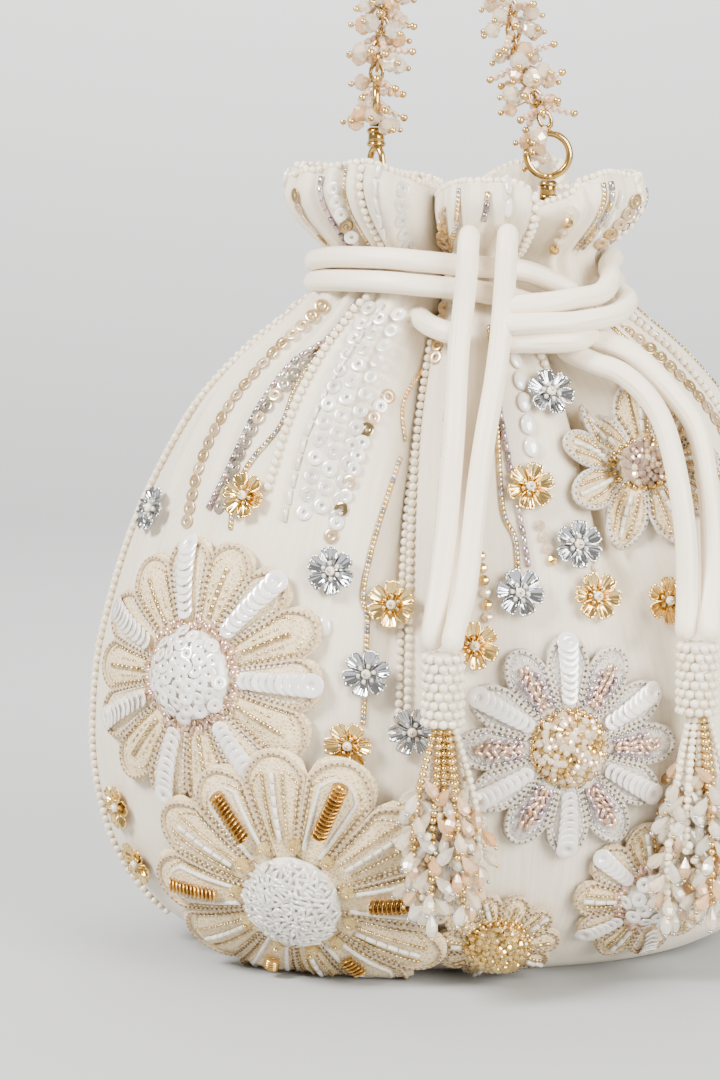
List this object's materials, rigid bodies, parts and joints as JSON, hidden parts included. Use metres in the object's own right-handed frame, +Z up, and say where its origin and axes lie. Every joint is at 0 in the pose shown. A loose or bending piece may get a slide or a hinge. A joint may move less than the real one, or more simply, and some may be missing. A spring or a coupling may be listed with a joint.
{
  "type": "drawstring pouch bag",
  "caption": "Gathered silk pouch with a ruffled mouth, embroidered flowers, a fabric drawstring with two tassels and an arched handle of crystal drops on swivel hooks.",
  "frame": {"origin": "middle of the flat base, on the floor", "axes": "+Z up, the front with the drawstring's tails faces -Y, +X is to the right seen from the front"},
  "size_m": [0.2125, 0.159, 0.3699],
  "materials": {
    "silk": "dull satin weave",
    "flower_net": "embroidered net with sequins",
    "pearl_beads": "pearl",
    "champagne_beads": "faceted, glossy",
    "gold_beads": "glossy",
    "gold_blossom": "bright pressed metal",
    "silver_blossom": "bright pressed metal",
    "drawstring": "dull satin weave",
    "gold_metal": "polished",
    "crystal": "faceted, glossy"
  },
  "bodies": {
    "root": {"bag": "silk", "flower_1": "flower_net", "flower_2": "flower_net", "flower_3": "flower_net", "flower_4": "flower_net", "flower_5": "flower_net", "flower_6": "flower_net", "flower_7": "flower_net", "flower_8": "flower_net", "flower_9": "flower_net", "flower_beads_1": "pearl_beads", "flower_beads_2": "pearl_beads", "flower_beads_3": "champagne_beads", "flower_beads_4": "champagne_beads", "flower_beads_5": "gold_beads", "flower_beads_6": "pearl_beads", "flower_beads_7": "pearl_beads", "flower_beads_8": "champagne_beads", "flower_beads_9": "pearl_beads", "blossom_1": "gold_blossom", "blossom_2": "gold_blossom", "blossom_3": "gold_blossom", "blossom_4": "gold_blossom", "blossom_5": "gold_blossom", "blossom_6": "gold_blossom", "blossom_7": "gold_blossom", "blossom_8": "gold_blossom", "blossom_9": "gold_blossom", "blossom_10": "gold_blossom", "blossom_11": "silver_blossom", "blossom_12": "silver_blossom", "blossom_13": "silver_blossom", "blossom_14": "silver_blossom", "blossom_15": "silver_blossom", "blossom_16": "silver_blossom", "blossom_17": "silver_blossom", "blossom_18": "gold_blossom", "blossom_19": "silver_blossom", "cord_wrap_upper": "drawstring", "cord_wrap_lower": "drawstring", "cord_cross_upper": "drawstring", "cord_cross_lower": "drawstring", "cord_loop_end": "drawstring", "cord_bridge": "drawstring", "cord_tail_left_a": "drawstring", "cord_tail_left_b": "drawstring", "cord_tail_right_a": "drawstring", "cord_tail_right_b": "drawstring", "tassel_head_left": "pearl_beads", "tassel_fringe_left": "gold_beads", "tassel_head_right": "pearl_beads", "tassel_fringe_right": "gold_beads", "swivel_ring_left": "gold_metal", "snap_hook_left": "gold_metal", "hook_loop_left": "drawstring", "swivel_ring_right": "gold_metal", "snap_hook_right": "gold_metal", "hook_loop_right": "drawstring", "handle": "crystal"}
  },
  "joints": []
}
